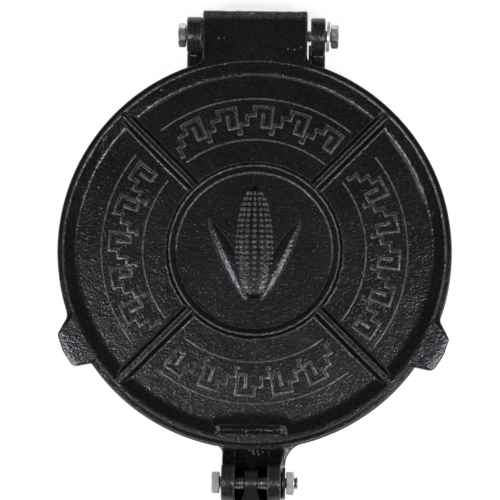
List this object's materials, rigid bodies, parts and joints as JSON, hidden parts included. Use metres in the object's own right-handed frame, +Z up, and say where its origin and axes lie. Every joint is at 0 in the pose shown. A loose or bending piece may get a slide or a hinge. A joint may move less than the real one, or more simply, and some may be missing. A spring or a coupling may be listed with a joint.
{
  "type": "tortilla press",
  "caption": "Cast-iron tortilla press: two round plates on a rear hinge, with a front lever that folds over and presses the top plate down.",
  "frame": {"origin": "on the table, in the plane of the four feet, under the common middle of the two round plates", "axes": "+Z up; +Y from the lever's fork at the front to the hinge at the rear; +X right, seen from the front"},
  "size_m": [0.2048, 0.4427, 0.0427],
  "materials": {
    "base_iron": "seasoned sand-cast iron, near black, gritty, half gloss",
    "top_iron": "seasoned sand-cast iron, near black, gritty, half gloss",
    "black_paint": "smooth black paint over cast iron, half gloss",
    "zinc_plate": "bright zinc plating",
    "black_washer": "blackened steel"
  },
  "bodies": {
    "base": {"base_plate": "base_iron", "hinge_bolt": "zinc_plate", "hinge_washer": "zinc_plate", "hinge_nut": "zinc_plate", "pivot_bolt": "zinc_plate", "pivot_washer": "black_washer", "pivot_nut": "zinc_plate"},
    "lid": {"top_plate": "top_iron"},
    "lever": {"lever": "black_paint"}
  },
  "joints": [
    {"name": "lid_hinge", "type": "hinge", "parent": "base", "child": "lid", "pos_m": [0, 0.1129, 0.0258], "axis": [-1, 0, 0], "range_deg": [0, 105]},
    {"name": "lever_pivot", "type": "hinge", "parent": "base", "child": "lever", "pos_m": [0, -0.1192, 0.033], "axis": [-1, 0, 0], "range_deg": [0, 172]}
  ]
}
